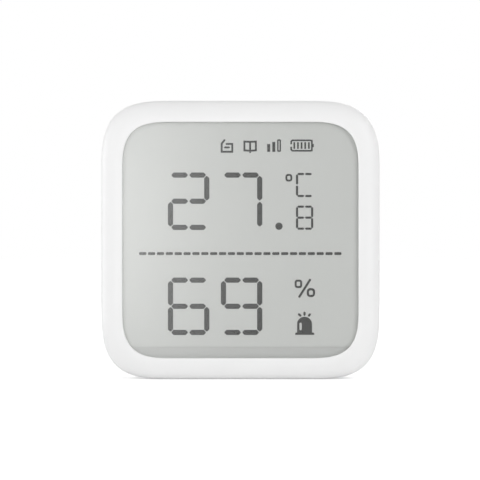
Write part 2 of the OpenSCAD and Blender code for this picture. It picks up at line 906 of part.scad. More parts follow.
// Tongue at the bottom of the cover, with a bead that grips the housing's wall
module cover_tongue() {
  half = tongue_w / 2;
  low = inner_bottom + fit_gap;
  block(-half, half, low, low + tongue_t, parting - tongue_reach, cover_inside + past / 2);
  block(-half, half, inner_bottom - past / 2, low + tongue_t, parting + seam, cover_inside + past / 2);
  translate([-half, parting - tongue_reach + tongue_t - body_d / 2, body_h / 2 + low + tongue_t / 2])
    rotate([0, 90, 0]) cylinder(r = tongue_t / 2 + tongue_bead, h = tongue_w);
}

front_housing();
lens_tape();
display_lens();
lcd_polariser();
lcd_front_glass();
lcd_rear_glass();
lcd_reflector();
lcd_carrier();
zebra_strip();
main_board();
microcontroller();
clock_crystal();
chip_antenna();
board_capacitors();
sensor_chip();
sensor_gasket();
switch_body();
switch_plunger();
pair_button();
rear_chassis();
chassis_screws();
positive_contact();
negative_contact();
negative_spring();
contact_bridge();
bridge_spring();
upper_cell();
upper_cell_jacket();
lower_cell();
lower_cell_jacket();
rear_cover();
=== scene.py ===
"""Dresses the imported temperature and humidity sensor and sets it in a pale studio.

Lengths in the classes are millimetres, apart from the studio's, which are metres. Places across the
front are measured from the body's centre, and depths from the front face, as in the part's source.
"""
import logging
import math
from dataclasses import dataclass, replace
from enum import Enum
from functools import cache
from typing import Callable, Iterable, Sequence

import bmesh
import bpy
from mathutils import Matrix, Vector


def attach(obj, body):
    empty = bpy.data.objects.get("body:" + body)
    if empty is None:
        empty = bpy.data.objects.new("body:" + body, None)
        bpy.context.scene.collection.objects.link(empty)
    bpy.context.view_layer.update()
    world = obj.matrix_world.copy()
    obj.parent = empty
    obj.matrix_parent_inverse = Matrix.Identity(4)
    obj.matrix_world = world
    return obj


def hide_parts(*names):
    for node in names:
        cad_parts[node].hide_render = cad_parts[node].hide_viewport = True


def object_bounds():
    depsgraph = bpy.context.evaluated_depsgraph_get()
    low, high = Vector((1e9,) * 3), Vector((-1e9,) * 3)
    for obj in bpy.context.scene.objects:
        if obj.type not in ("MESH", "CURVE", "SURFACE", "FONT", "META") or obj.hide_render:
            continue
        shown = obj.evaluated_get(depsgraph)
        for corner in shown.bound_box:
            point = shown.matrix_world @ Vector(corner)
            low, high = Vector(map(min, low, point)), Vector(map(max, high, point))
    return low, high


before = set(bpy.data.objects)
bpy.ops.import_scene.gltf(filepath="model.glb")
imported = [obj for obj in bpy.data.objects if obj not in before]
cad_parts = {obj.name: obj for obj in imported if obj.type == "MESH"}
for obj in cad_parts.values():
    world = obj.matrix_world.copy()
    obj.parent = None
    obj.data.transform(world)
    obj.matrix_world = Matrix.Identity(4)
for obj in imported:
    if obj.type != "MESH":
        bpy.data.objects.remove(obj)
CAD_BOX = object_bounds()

LOG = logging.getLogger("sensor_scene")
MM = 0.001
WIDTH, DEPTH, HEIGHT = ((high - low) / MM for low, high in zip(*CAD_BOX))
TOP = HEIGHT / 2
BOTTOM = -TOP
PAST = 1.0
NOISE_LOW, NOISE_HIGH = 0.3, 0.7
WAVE_LENGTH = 0.314
ROUND_END = 0.49
EDGE_STEPS, PATCH_STEPS, RING_STEPS = 8, 10, 4
DOT_SIDES, ROD_SIDES, LATHE_SIDES = 32, 48, 72
WELD, SLIVER = 1e-5, 1e-6

Point = tuple[float, float]
Point3 = tuple[float, float, float]
Colour = tuple[float, float, float]
Socket = bpy.types.NodeSocket


class Axis(Enum):
    """Direction that a rounded block's round edges run in."""

    X = 0
    Z = 2


class Join(Enum):
    """Ways to join a second solid to a first."""

    CUT = "DIFFERENCE"
    FUSE = "UNION"


class Segment(Enum):
    """Bars of a display digit."""

    TOP = "top"
    MIDDLE = "middle"
    BOTTOM = "bottom"
    UPPER_LEFT = "upper left"
    UPPER_RIGHT = "upper right"
    LOWER_LEFT = "lower left"
    LOWER_RIGHT = "lower right"


LEFT_BARS = {Segment.UPPER_LEFT, Segment.LOWER_LEFT}
RIGHT_BARS = {Segment.UPPER_RIGHT, Segment.LOWER_RIGHT}
LEVEL_BARS = {Segment.TOP, Segment.MIDDLE, Segment.BOTTOM}
GLYPHS: dict[str, set[Segment]] = {
    "2": LEVEL_BARS | {Segment.UPPER_RIGHT, Segment.LOWER_LEFT},
    "6": LEVEL_BARS | LEFT_BARS | {Segment.LOWER_RIGHT},
    "7": RIGHT_BARS | {Segment.TOP},
    "8": LEVEL_BARS | LEFT_BARS | RIGHT_BARS,
    "9": LEVEL_BARS | RIGHT_BARS | {Segment.UPPER_LEFT},
    "C": LEFT_BARS | {Segment.TOP, Segment.BOTTOM},
}


def add_node(tree: bpy.types.NodeTree, kind: str,
             values: dict[str | int, object] | None = None) -> bpy.types.Node:
    """Adds one node.

    Args:
        tree: Node tree that gets it.
        kind: Blender's type of the node.
        values: Values of its input sockets, or sockets to link to them.

    Returns:
        The new node.
    """
    node = tree.nodes.new(kind)
    for label, value in (values or {}).items():
        if isinstance(value, Socket):
            tree.links.new(value, node.inputs[label])
        else:
            node.inputs[label].default_value = value
    return node


class NodeBench:
    """Lays out the nodes of one material on Object coordinates."""

    def __init__(self, name: str) -> None:
        """Starts an empty material.

        Args:
            name: Name of the material.
        """
        self.material = bpy.data.materials.new(name)
        self.material.use_nodes = True
        self.tree = self.material.node_tree
        self.tree.nodes.clear()
        self.place = self.add("ShaderNodeTexCoord").outputs["Object"]

    def add(self, kind: str, values: dict[str | int, object] | None = None) -> bpy.types.Node:
        """Adds one node to the material, and returns it."""
        return add_node(self.tree, kind, values)

    def noise(self, size_mm: float, stretch: Point3 = (1, 1, 1), detail: float = 3) -> Socket:
        """Adds a soft noise.

        Args:
            size_mm: Size of one grain.
            stretch: Share of the frequency along each axis.
            detail: Number of finer layers.

        Returns:
            The noise, from 0 to 1.
        """
        place = self.add("ShaderNodeMapping", {"Vector": self.place, "Scale": stretch}).outputs["Vector"]
        values = {"Vector": place, "Scale": 1 / (size_mm * MM), "Detail": detail}
        return self.add("ShaderNodeTexNoise", values).outputs["Fac"]

    def spread(self, amount: Socket, low: float, high: float) -> Socket:
        """Spreads a noise over a range of numbers.

        Args:
            amount: Noise, mostly from NOISE_LOW to NOISE_HIGH.
            low: Number at the low end.
            high: Number at the high end.

        Returns:
            The spread number.
        """
        values = {"Value": amount, "From Min": NOISE_LOW, "From Max": NOISE_HIGH, "To Min": low,
                  "To Max": high}
        return self.add("ShaderNodeMapRange", values).outputs["Result"]

    def ramp(self, amount: Socket, stops: Sequence[tuple[float, Colour]],
             smooth: bool = True) -> Socket:
        """Turns a number into a colour.

        Args:
            amount: Number from 0 to 1.
            stops: Places and colours of the ramp.
            smooth: Whether colours run into each other.

        Returns:
            The colour.
        """
        node = self.add("ShaderNodeValToRGB", {"Fac": amount})
        node.color_ramp.interpolation = "LINEAR" if smooth else "CONSTANT"
        elements = node.color_ramp.elements
        while len(elements) < len(stops):
            elements.new(0.5)
        for element, (place, colour) in zip(elements, stops):
            element.position = place
            element.color = (*colour, 1)
        return node.outputs["Color"]

    def bump(self, height: Socket, height_mm: float) -> Socket:
        """Turns a height into a surface normal.

        Args:
            height: Height from 0 to 1.
            height_mm: Real height of a full step.

        Returns:
            The normal.
        """
        values = {"Height": height, "Strength": 1.0, "Distance": height_mm * MM}
        return self.add("ShaderNodeBump", values).outputs["Normal"]

    def close(self, shader: Socket) -> bpy.types.Material:
        """Links a shader to the output and returns the material."""
        self.add("ShaderNodeOutputMaterial", {"Surface": shader})
        return self.material


def shaded(colour: Colour, share: float) -> Colour:
    """Returns a colour made darker or lighter by a share."""
    return tuple(min(1.0, part * (1 + share)) for part in colour)


@dataclass(frozen=True)
class Finish:
    """A surface with fine grain, a little unevenness in colour, and uneven gloss."""

    name: str
    colour: Colour
    roughness: float = 0.45
    roughness_spread: float = 0.05
    metallic: float = 0.0
    grain_mm: float = 0.3
    grain_height_mm: float = 0.002
    cloud_mm: float = 6.0
    unevenness: float = 0.02
    stretch: Point3 = (1, 1, 1)
    specular: float = 0.5
    coat: float = 0.0
    coat_roughness: float = 0.1

    def paint(self, bench: NodeBench) -> Socket:
        """Adds the nodes that colour the surface.

        Args:
            bench: Bench of this material.

        Returns:
            The colour.
        """
        cloud = bench.noise(self.cloud_mm, self.stretch)
        return bench.ramp(cloud, [(NOISE_LOW, shaded(self.colour, -self.unevenness)),
                                  (NOISE_HIGH, shaded(self.colour, self.unevenness))])

    def relief(self, bench: NodeBench) -> Socket:
        """Returns the height of the surface grain."""
        return bench.noise(self.grain_mm, self.stretch, detail=2)

    @cache
    def material(self) -> bpy.types.Material:
        """Returns the material, which is made once."""
        bench = NodeBench(f"{self.name}_finish")
        gloss = bench.noise(self.cloud_mm / 4, self.stretch)
        shader = bench.add("ShaderNodeBsdfPrincipled", {
            "Base Color": self.paint(bench),
            "Roughness": bench.spread(gloss, self.roughness - self.roughness_spread,
                                      self.roughness + self.roughness_spread),
            "Metallic": self.metallic,
            "Specular IOR Level": self.specular,
            "Coat Weight": self.coat,
            "Coat Roughness": self.coat_roughness,
            "Normal": bench.bump(self.relief(bench), self.grain_height_mm),
        })
        return bench.close(shader.outputs["BSDF"])


@dataclass(frozen=True)
class LayeredRubber(Finish):
    """Silicone with thin dark conducting layers along X."""

    layer_mm: float = 0.2
    layer_colour: Colour = (0.02, 0.02, 0.02)

    def paint(self, bench: NodeBench) -> Socket:
        """Adds the layers.

        Args:
            bench: Bench of this material.

        Returns:
            The colour.
        """
        wave = bench.add("ShaderNodeTexWave", {"Vector": bench.place, "Distortion": 0.2,
                                               "Scale": WAVE_LENGTH / (self.layer_mm * MM)})
        return bench.ramp(wave.outputs["Fac"], [(0.4, self.layer_colour), (0.6, self.colour)])


@dataclass(frozen=True)
class CellFoam(Finish):
    """Foam with small round pores."""

    def relief(self, bench: NodeBench) -> Socket:
        """Returns the height of the pores."""
        values = {"Vector": bench.place, "Scale": 1 / (self.grain_mm * MM)}
        return bench.add("ShaderNodeTexVoronoi", values).outputs["Distance"]


@dataclass(frozen=True)
class BandedFilm(Finish):
    """Shrink film of a cell, with a band of another colour at one end."""

    band_colour: Colour = (0.6, 0.6, 0.6)
    band_from: float = 0.0
    band_to: float = 1.0

    def paint(self, bench: NodeBench) -> Socket:
        """Adds the band.

        Args:
            bench: Bench of this material.

        Returns:
            The colour.
        """
        along = bench.add("ShaderNodeSeparateXYZ", {"Vector": bench.place}).outputs["X"]
        share = bench.add("ShaderNodeMapRange", {"Value": along, "From Min": self.band_from * MM,
                                                 "From Max": self.band_to * MM}).outputs["Result"]
        return bench.ramp(share, [(0.0, self.band_colour), (0.5, self.colour)], smooth=False)


@dataclass(frozen=True)
class ClearPane:
    """Clear sheet that shows what is behind it and mirrors more at a slant."""

    name: str
    tint: Colour
    mirror: float = 0.04
    roughness: float = 0.03
    steepness: float = 5.0
    wave_mm: float = 9.0
    wave_height_mm: float = 0.0008

    @cache
    def material(self) -> bpy.types.Material:
        """Returns the material, which is made once."""
        bench = NodeBench(f"{self.name}_finish")
        wave = bench.bump(bench.noise(self.wave_mm, detail=1), self.wave_height_mm)
        clear = bench.add("ShaderNodeBsdfTransparent", {"Color": (*self.tint, 1)}).outputs["BSDF"]
        gloss = bench.add("ShaderNodeBsdfGlossy", {"Color": (1, 1, 1, 1), "Roughness": self.roughness,
                                                   "Normal": wave}).outputs["BSDF"]
        slant = bench.add("ShaderNodeLayerWeight", {"Blend": 0.5}).outputs["Facing"]
        steep = bench.add("ShaderNodeMath", {0: slant, 1: self.steepness})
        steep.operation = "POWER"
        share = bench.add("ShaderNodeMapRange", {"Value": steep.outputs["Value"], "To Min": self.mirror,
                                                 "To Max": 1.0}).outputs["Result"]
        return bench.close(bench.add("ShaderNodeMixShader", {0: share, 1: clear, 2: gloss}).outputs["Shader"])


SHELL = Finish("white_shell", (0.88, 0.88, 0.88), roughness=0.4, grain_mm=0.22, grain_height_mm=0.0012,
               unevenness=0.006)
CHASSIS = Finish("white_chassis", (0.8, 0.8, 0.79), roughness=0.5, grain_mm=0.35, grain_height_mm=0.004,
                 unevenness=0.015)
TAPE = Finish("pale_tape", (0.72, 0.72, 0.7), roughness=0.8, grain_mm=0.15, grain_height_mm=0.01)
LENS = ClearPane("clear_lens", (0.99, 0.995, 0.99), mirror=0.03, roughness=0.24)
FILM = Finish("display_film", (0.562, 0.564, 0.556), roughness=0.45, grain_mm=0.12, grain_height_mm=0.0006,
              cloud_mm=14.0, unevenness=0.008, specular=0.1)
INK = Finish("segment_ink", (0.012, 0.0125, 0.0115), roughness=0.45, grain_mm=0.12, grain_height_mm=0.0006,
             cloud_mm=2.0, unevenness=0.05, specular=0.1)
GLASS = ClearPane("display_glass", (0.985, 0.988, 0.985), mirror=0.03)
GROUND = Finish("display_ground", (0.6, 0.61, 0.59), roughness=0.6, grain_mm=0.1, unevenness=0.03)
LEDGE = replace(FILM, name="display_ground", colour=(0.5, 0.5, 0.496))
GREY_FRAME = Finish("grey_frame", (0.76, 0.76, 0.755), roughness=0.5, grain_mm=0.3, grain_height_mm=0.004)
RUBBER = LayeredRubber("contact_rubber", (0.55, 0.3, 0.28), roughness=0.6)
LAMINATE = Finish("board_laminate", (0.03, 0.2, 0.1), roughness=0.3, grain_mm=0.5, grain_height_mm=0.006,
                  cloud_mm=2.5, unevenness=0.15, coat=0.4)
RESIN = Finish("chip_resin", (0.03, 0.03, 0.035), roughness=0.55, grain_mm=0.08, grain_height_mm=0.006,
               unevenness=0.1)
STEEL = Finish("bright_steel", (0.7, 0.7, 0.7), roughness=0.28, metallic=1.0, grain_mm=0.08,
               grain_height_mm=0.001, cloud_mm=1.5, unevenness=0.05)
PALE_CERAMIC = Finish("pale_ceramic", (0.82, 0.8, 0.74), roughness=0.5, grain_mm=0.1, grain_height_mm=0.004)
TAN_CERAMIC = Finish("tan_ceramic", (0.5, 0.38, 0.25), roughness=0.45, grain_mm=0.1, grain_height_mm=0.004)
FOAM = CellFoam("black_foam", (0.05, 0.05, 0.05), roughness=0.9, grain_mm=0.35, grain_height_mm=0.08)
BUTTON = Finish("grey_button", (0.45, 0.46, 0.47), roughness=0.42, grain_mm=0.25, grain_height_mm=0.003)
PLATE = Finish("contact_plate", (0.72, 0.71, 0.68), roughness=0.3, metallic=1.0, grain_mm=0.06,
               grain_height_mm=0.0015, cloud_mm=1.2, unevenness=0.06, stretch=(1, 1, 0.12))
WIRE = Finish("spring_wire", (0.75, 0.74, 0.72), roughness=0.2, metallic=1.0, grain_mm=0.08,
              grain_height_mm=0.0008, cloud_mm=0.8, unevenness=0.06)
CAN = Finish("cell_steel", (0.7, 0.7, 0.7), roughness=0.22, metallic=1.0, grain_mm=0.1,
             grain_height_mm=0.0008, cloud_mm=1.5, unevenness=0.05)


def add_object(name: str, data: bpy.types.ID) -> bpy.types.Object:
    """Makes an object and puts it in the scene.

    Args:
        name: Name of the object.
        data: Mesh, lamp or camera that it shows.

    Returns:
        The object.
    """
    thing = bpy.data.objects.new(name, data)
    bpy.context.scene.collection.objects.link(thing)
    return thing


def add_mesh(name: str, bm: bmesh.types.BMesh) -> bpy.types.Object:
    """Makes an object of a finished mesh.

    Args:
        name: Name of the object.
        bm: The mesh, which is used up.

    Returns:
        The object.
    """
    mesh = bpy.data.meshes.new(name)
    bm.to_mesh(mesh)
    bm.free()
    return add_object(name, mesh)


class Solid:
    """A mesh in the making, in millimetres, with depths measured from the front face."""

    def __init__(self) -> None:
        """Starts with nothing."""
        self.bm = bmesh.new()

    def numbers(self) -> bmesh.types.BMLayerItem:
        """Returns the layer that numbers corners along a ring or a path."""
        layers = self.bm.verts.layers.int
        return layers.get("number") or layers.new("number")

    def loft(self, count: int, rings: int, place: Callable[[int, int], Sequence[float]],
             closed: bool = False) -> "Solid":
        """Adds a skin over rings of points, each ring drawn out of the one before.

        Args:
            count: Points in a ring.
            rings: Number of rings.
            place: Place of a point, from its ring's number and its own.
            closed: Whether the last ring joins the first, and otherwise both ends are filled.

        Returns:
            This solid.
        """
        bm = self.bm
        number = self.numbers()
        verts = bmesh.ops.create_circle(bm, segments=count, radius=1.0)["verts"]
        edges = list(dict.fromkeys(edge for vert in verts for edge in vert.link_edges))
        first = edges
        for index, vert in enumerate(verts):
            vert[number] = index
            vert.co = place(0, index)
        for ring in range(1, rings):
            grown = bmesh.ops.extrude_edge_only(bm, edges=edges)["geom"]
            verts = {part for part in grown if isinstance(part, bmesh.types.BMVert)}
            edges = [part for part in grown
                     if isinstance(part, bmesh.types.BMEdge) and verts.issuperset(part.verts)]
            for vert in verts:
                vert.co = place(ring, vert[number])
        if closed:
            bmesh.ops.bridge_loops(bm, edges=first + edges)
        else:
            bmesh.ops.edgeloop_fill(bm, edges=first)
            bmesh.ops.edgeloop_fill(bm, edges=edges)
        bmesh.ops.recalc_face_normals(bm, faces=bm.faces)
        return self

    def block(self, low: Sequence[float], high: Sequence[float], along: Axis = Axis.Z,
              radius: float = 0.0) -> "Solid":
        """Adds a block whose edges along one axis may be round.

        Args:
            low: Lowest corner, as X, depth and Z.
            high: Highest corner.
            along: Axis that the round edges run along.
            radius: Radius of those edges.

        Returns:
            This solid.
        """
        size = Vector(high) - Vector(low)
        verts = bmesh.ops.create_cube(self.bm, size=1.0)["verts"]
        bmesh.ops.scale(self.bm, verts=verts, vec=size)
        bmesh.ops.translate(self.bm, verts=verts, vec=(Vector(high) + Vector(low)) / 2)
        if radius:
            edges = dict.fromkeys(edge for vert in verts for edge in vert.link_edges)
            round_edges = [edge for edge in edges
                           if abs((edge.verts[0].co - edge.verts[1].co)[along.value]) > size[along.value] / 2]
            bmesh.ops.bevel(self.bm, geom=round_edges, offset=radius, offset_type="OFFSET", affect="EDGES",
                            segments=EDGE_STEPS, profile=0.5, material=-1)
        return self

    def rod(self, x: float, z: float, radius: float, start: float, end: float) -> "Solid":
        """Adds a round rod along the depth.

        Args:
            x: Place of its middle.
            z: Height of its middle.
            radius: Its radius.
            start: Depth of its start.
            end: Depth of its end.

        Returns:
            This solid.
        """

        def place(ring: int, index: int) -> Point3:
            """Returns a point of one end."""
            turn = math.tau * index / ROD_SIDES
            return (x + radius * math.cos(turn), (start, end)[ring], z + radius * math.sin(turn))

        return self.loft(ROD_SIDES, 2, place)

    def lathe(self, profile: Sequence[Point], depth: float, z: float) -> "Solid":
        """Turns a closed profile round an axis that runs along X.

        Args:
            profile: Points of the profile, each a place along X and a radius.
            depth: Depth of the axis.
            z: Height of the axis.

        Returns:
            This solid.
        """
        bm = self.bm
        verts = [bm.verts.new((x, depth, z + radius)) for x, radius in profile]
        edges = [bm.edges.new(pair) for pair in zip(verts, verts[1:] + verts[:1])]
        bmesh.ops.spin(bm, geom=verts + edges, cent=(0, depth, z), axis=(1, 0, 0), angle=math.tau,
                       steps=LATHE_SIDES, use_merge=True, use_duplicate=False)
        bmesh.ops.remove_doubles(bm, verts=bm.verts, dist=WELD)
        bmesh.ops.dissolve_degenerate(bm, edges=bm.edges, dist=SLIVER)
        bmesh.ops.recalc_face_normals(bm, faces=bm.faces)
        return self

    def joined(self, other: "Solid", way: Join) -> "Solid":
        """Cuts or fuses another solid.

        Args:
            other: Second solid, which is used up.
            way: Way to join it.

        Returns:
            The joined solid.
        """
        bodies = [add_mesh("joining", part.bm) for part in (self, other)]
        modifier = bodies[0].modifiers.new("join", "BOOLEAN")
        modifier.operation = way.value
        modifier.solver = "EXACT"
        modifier.use_self = way is Join.FUSE
        modifier.object = bodies[1]
        made = Solid()
        graph = bpy.context.evaluated_depsgraph_get()
        made.bm.from_mesh(bodies[0].evaluated_get(graph).to_mesh())
        for body in bodies:
            mesh = body.data
            bpy.data.objects.remove(body)
            bpy.data.meshes.remove(mesh)
        return made

    def piece(self, name: str, finish: Finish, body: str = "body", stands_for: Iterable[str] = (),
              sharp_deg: float = 32.0, edge_mm: float = 0.0) -> bpy.types.Object:
        """Puts the solid in its place as a piece of the model.

        Args:
            name: Name of the piece.
            finish: Its finish.
            body: CAD body that it rides on.
            stands_for: CAD nodes that it replaces.
            sharp_deg: Angle past which an edge stays sharp.
            edge_mm: Width of the soft edge that its sharp edges get.

        Returns:
            The piece.
        """
        bm = self.bm
        bmesh.ops.translate(bm, verts=bm.verts, vec=(0, -DEPTH / 2, TOP))
        bmesh.ops.scale(bm, verts=bm.verts, vec=(MM, MM, MM))
        thing = add_mesh(name, bm)
        mesh = thing.data
        mesh.shade_smooth()
        mesh.set_sharp_from_angle(angle=math.radians(sharp_deg))
        mesh.materials.append(finish.material())
        if edge_mm:
            soften(thing, edge_mm, sharp_deg)
        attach(thing, body)
        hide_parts(*stands_for)
        LOG.info("made %s", name)
        return thing


def soften(thing: bpy.types.Object, edge_mm: float, sharp_deg: float) -> None:
    """Gives a piece small round edges where it has sharp ones.

    Args:
        thing: The piece.
        edge_mm: Width of the round edge.
        sharp_deg: Angle past which an edge is rounded.
    """
    bevel = thing.modifiers.new("soft edges", "BEVEL")
    bevel.width = edge_mm * MM
    bevel.segments = 2
    bevel.limit_method = "ANGLE"
    bevel.angle_limit = math.radians(sharp_deg)
    bevel.harden_normals = False
    weighted = thing.modifiers.new("even shading", "WEIGHTED_NORMAL")
    weighted.keep_sharp = True


def quarter(steps: int) -> list[Point]:
    """Returns points of a quarter round, from (0, 1) to (1, 0)."""
    turns = [math.pi / 2 * step / steps for step in range(steps + 1)]
    return [(1 - math.cos(turn), 1 - math.sin(turn)) for turn in turns]


@dataclass(frozen=True)
class SoftOutline:
    """Outline of the body, with corners that ease into the sides."""

    corner_reach: float = 16.0
    corner_power: float = 3.2
    corner_steps: int = 30

    @property
    def count(self) -> int:
        """Number of points round the outline."""
        return 4 * (self.corner_steps + 1)

    def point(self, index: int, inset: float) -> Point:
        """Finds one point of the outline.

        Args:
            index: Number of the point.
            inset: Distance that the outline is moved in.

        Returns:
            Its place across the front.
        """
        corner, step = divmod(index, self.corner_steps + 1)
        turn = math.pi / 2 * step / self.corner_steps
        turn = turn if corner % 2 == 0 else math.pi / 2 - turn
        reach = self.corner_reach - inset
        power = 2 / self.corner_power
        x = WIDTH / 2 - inset - reach * (1 - max(0.0, math.cos(turn)) ** power)
        z = HEIGHT / 2 - inset - reach * (1 - max(0.0, math.sin(turn)) ** power)
        return (x if corner in (0, 3) else -x, z if corner < 2 else -z)

    def loft(self, stations: Sequence[Point], closed: bool = False) -> Solid:
        """Makes a skin over copies of the outline.

        Args:
            stations: Inset and depth of each copy.
            closed: Whether the last copy joins the first.

        Returns:
            The skin.
        """

        def place(ring: int, index: int) -> Point3:
            """Returns a point of one copy."""
            x, z = self.point(index, stations[ring][0])
            return (x, stations[ring][1], z)

        return Solid().loft(self.count, len(stations), place, closed)


@dataclass
class Shell:
    """White shell: a front housing with a pillowed rim, and the rear cover that closes it."""

    outline: SoftOutline = SoftOutline()
    wall: float = 1.8
    front_skin: float = 1.6
    lip_t: float = 0.5
    pocket_inset: float = 2.9
    rim_w: float = 4.7
    window_round: float = 0.25
    front_round: float = 4.0
    front_round_depth: float = 2.6
    side_run: float = 0.5
    cover_depth: float = 4.0
    cover_wall: float = 1.6
    inside_round: float = 0.4
    back_round: float = 1.5
    back_land: float = 0.8
    seam: float = 0.15
    seam_round: float = 0.15
    slit: tuple[float, float, float] = (12.0, 2.2, 4.1)
    vent_count: int = 5
    vent_pitch: float = 2.8
    vent: tuple[float, float, float] = (1.3, 8.4, 13.0)
    notch_half: float = 6.0
    hook_x: float = 11.0
    hook_w: float = 5.0
    hook_t: float = 1.2
    hook_reach: float = 2.6
    hook_lip: float = 0.8
    fit_gap: float = 0.3
    tongue_reach: float = 3.0
    tongue_t: float = 1.2
    tongue_round: float = 0.3
    tab_z: float = 13.0
    tab_length: float = 8.0
    tab_t: float = 1.0
    tab_reach: float = 1.4
    rib_half: float = 24.1
    rib_h: float = 1.2
    rib_t: float = 1.2
    hole_x: float = 14.0
    hole_z: float = 20.0
    hole_radius: float = 2.1
    hole_ring: float = 1.6

    @property
    def parting(self) -> float:
        """Depth at which the front housing ends."""
        return DEPTH - self.cover_depth

    @property
    def cover_inside(self) -> float:
        """Depth of the rear cover's inner face."""
        return DEPTH - self.cover_wall

    @property
    def inner_top(self) -> float:
        """Height of the top wall's inner face."""
        return TOP - self.wall

    def build(self) -> None:
        """Makes both shells."""
        self.front_shell().piece("front_shell", SHELL, stands_for=["front_housing"], edge_mm=0.1)
        self.back_shell().piece("back_shell", SHELL, "cover", ["rear_cover"], edge_mm=0.1)

    def front_shell(self) -> Solid:
        """Returns the front housing with its window, air inlets and hook pockets."""
        window = [(self.rim_w - self.window_round * a, self.window_round * b) for a, b in quarter(5)]
        pillow = [(self.front_round * b, self.front_round_depth * a) for a, b in quarter(20)]
        stations = [(self.rim_w, self.lip_t), *window, *pillow,
                    (0, self.front_round_depth + self.side_run), (0, self.parting - self.seam_round),
                    (self.seam_round, self.parting), (self.wall, self.parting),
                    (self.wall, self.front_skin), (self.pocket_inset, self.front_skin),
                    (self.pocket_inset, self.lip_t)]
        shell = self.outline.loft(stations, closed=True)
        return shell.joined(self.inlets(), Join.CUT).joined(self.pockets(), Join.CUT)

    def inlets(self) -> Solid:
        """Returns the slit and the vents through the bottom wall."""
        low, high = BOTTOM - PAST, BOTTOM + self.wall + self.fit_gap
        cutter = Solid()
        length, start, end = self.slit
        cutter.block((-length / 2, start, low), (length / 2, end, high), Axis.Z, ROUND_END * (end - start))
        width, start, end = self.vent
        for index in range(self.vent_count):
            x = (index - (self.vent_count - 1) / 2) * self.vent_pitch
            cutter.block((x - width / 2, start, low), (x + width / 2, end, high), Axis.Z, ROUND_END * width)
        return cutter

    def pockets(self) -> Solid:
        """Returns the pockets of the cover's hooks and the pry notch across the seam."""
        cutter = Solid()
        half = self.hook_w / 2 + self.fit_gap
        start = self.parting - self.hook_reach - self.fit_gap
        end, high = self.parting - self.hook_lip, self.inner_top + self.hook_lip + self.fit_gap
        for x in (-self.hook_x, self.hook_x):
            cutter.block((x - half, start, self.inner_top - PAST), (x + half, end, high))
        return self.notch(cutter, self.parting - self.wall, self.parting + PAST)

    def notch(self, cutter: Solid, start: float, end: float) -> Solid:
        """Adds the pry notch to a cutter.

        Args:
            cutter: Cutter that gets the notch.
            start: Depth of the notch's start.
            end: Depth of its end.

        Returns:
            The cutter.
        """
        return cutter.block((-self.notch_half, start, BOTTOM - PAST),
                            (self.notch_half, end, BOTTOM + self.wall / 2))

    def back_shell(self) -> Solid:
        """Returns the rear cover with its hooks, tongue, tabs, rib and wall holes."""
        edge = [(self.back_round * a, DEPTH - self.back_round * b) for a, b in quarter(12)]
        start = self.parting + self.seam
        stations = [(self.wall + self.inside_round, self.cover_inside),
                    (self.wall, self.cover_inside - self.inside_round),
                    (self.wall, start), (self.seam_round, start), (0, start + self.seam_round),
                    *edge, (self.back_round + self.back_land, DEPTH)]
        cover = self.outline.loft(stations)
        return cover.joined(self.fittings(), Join.FUSE).joined(self.cover_cuts(), Join.CUT)

    def fittings(self) -> Solid:
        """Returns what stands up inside the rear cover."""
        made = Solid()
        root = self.cover_inside + PAST / 2
        start = self.parting + self.seam
        arm_top = self.inner_top - self.fit_gap
        for x in (-self.hook_x, self.hook_x):
            left, right, low = x - self.hook_w / 2, x + self.hook_w / 2, arm_top - self.hook_t
            tip = self.parting - self.hook_reach
            made.block((left, tip, low), (right, root, arm_top))
            made.block((left, start, low), (right, root, self.inner_top + PAST / 2))
            made.block((left, tip, low), (right, tip + self.hook_lip, self.inner_top + self.hook_lip))
        low = -self.inner_top + self.fit_gap
        tip = self.parting - self.tongue_reach
        made.block((-self.notch_half, tip, low), (self.notch_half, root, low + self.tongue_t), Axis.X,
                   self.tongue_round)
        made.block((-self.notch_half, start, low - PAST / 2), (self.notch_half, root, low + self.tongue_t))
        outer = WIDTH / 2 - self.wall - self.fit_gap
        for side in (-1, 1):
            for row in (-1, 1):
                ends = sorted((side * (outer - self.tab_t), side * outer))
                roots = sorted((side * (outer - self.tab_t), side * (outer + self.fit_gap + PAST / 2)))
                low, high = row * self.tab_z - self.tab_length / 2, row * self.tab_z + self.tab_length / 2
                made.block((ends[0], self.parting - self.tab_reach, low), (ends[1], root, high))
                made.block((roots[0], start, low), (roots[1], root, high))
        floor = self.cover_inside - self.rib_h
        made.block((-self.rib_half, floor, -self.rib_t / 2), (self.rib_half, root, self.rib_t / 2))
        for x in (-self.hole_x, self.hole_x):
            made.rod(x, self.hole_z, self.hole_radius + self.hole_ring, floor, root)
        return made

    def cover_cuts(self) -> Solid:
        """Returns the wall screw holes and the notch of the rear cover."""
        cutter = Solid()
        for x in (-self.hole_x, self.hole_x):
            cutter.rod(x, self.hole_z, self.hole_radius, self.parting, DEPTH + PAST)
        return self.notch(cutter, self.parting - PAST, self.parting + self.wall)


